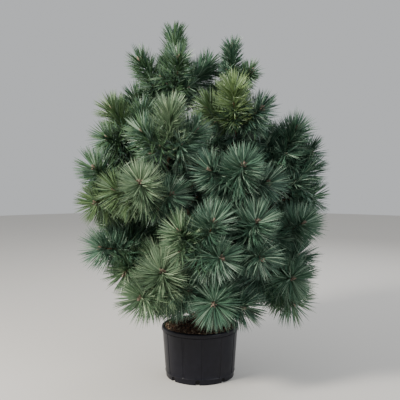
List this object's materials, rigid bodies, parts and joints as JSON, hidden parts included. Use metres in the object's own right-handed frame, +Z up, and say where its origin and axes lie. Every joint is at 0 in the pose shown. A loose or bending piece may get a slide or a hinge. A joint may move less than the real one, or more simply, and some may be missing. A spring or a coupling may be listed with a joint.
{
  "type": "potted scots pine",
  "caption": "Bushy dwarf scots pine with a broad egg-shaped crown of long needles, in a round black nursery pot filled with bark mulch.",
  "frame": {"origin": "centre of the pot's flat underside", "axes": "+Z up along the pot's axis, -Y towards the side that the picture shows, +X to its right"},
  "size_m": [1.3066, 1.2016, 1.8562],
  "materials": {
    "pot": "moulded black plastic, satin",
    "mulch": "loose bark mulch over compost",
    "bark": "rough flaking bark",
    "needles": "blue-green pine needles"
  },
  "bodies": {
    "root": {"bough_back_left": "bark", "bough_back_mid_left": "bark", "bough_back_mid_right": "bark", "bough_back_right": "bark", "bough_front": "bark", "bough_front_left": "bark", "bough_front_right": "bark", "bough_high_back": "bark", "bough_high_back_left": "bark", "bough_high_back_right": "bark", "bough_high_front_right": "bark", "bough_high_right": "bark", "bough_left": "bark", "bough_low_back": "bark", "bough_low_back_left": "bark", "bough_low_back_right": "bark", "bough_low_front": "bark", "bough_low_front_left": "bark", "bough_low_left": "bark", "bough_low_right": "bark", "bough_right": "bark", "bough_second_leader": "bark", "bough_shoulder_front": "bark", "bough_upper_back_left": "bark", "bough_upper_back_right": "bark", "bough_upper_front": "bark", "bough_upper_left": "bark", "bough_upper_right": "bark", "needles_back_left": "needles", "needles_back_mid_left": "needles", "needles_back_mid_right": "needles", "needles_back_right": "needles", "needles_front": "needles", "needles_front_left": "needles", "needles_front_right": "needles", "needles_high_back": "needles", "needles_high_back_left": "needles", "needles_high_back_right": "needles", "needles_high_front_right": "needles", "needles_high_right": "needles", "needles_leader": "needles", "needles_left": "needles", "needles_low_back": "needles", "needles_low_back_left": "needles", "needles_low_back_right": "needles", "needles_low_front": "needles", "needles_low_front_left": "needles", "needles_low_left": "needles", "needles_low_right": "needles", "needles_right": "needles", "needles_second_leader": "needles", "needles_shoulder_front": "needles", "needles_upper_back_left": "needles", "needles_upper_back_right": "needles", "needles_upper_front": "needles", "needles_upper_left": "needles", "needles_upper_right": "needles", "pot": "pot", "soil": "mulch", "trunk": "bark"}
  },
  "joints": []
}
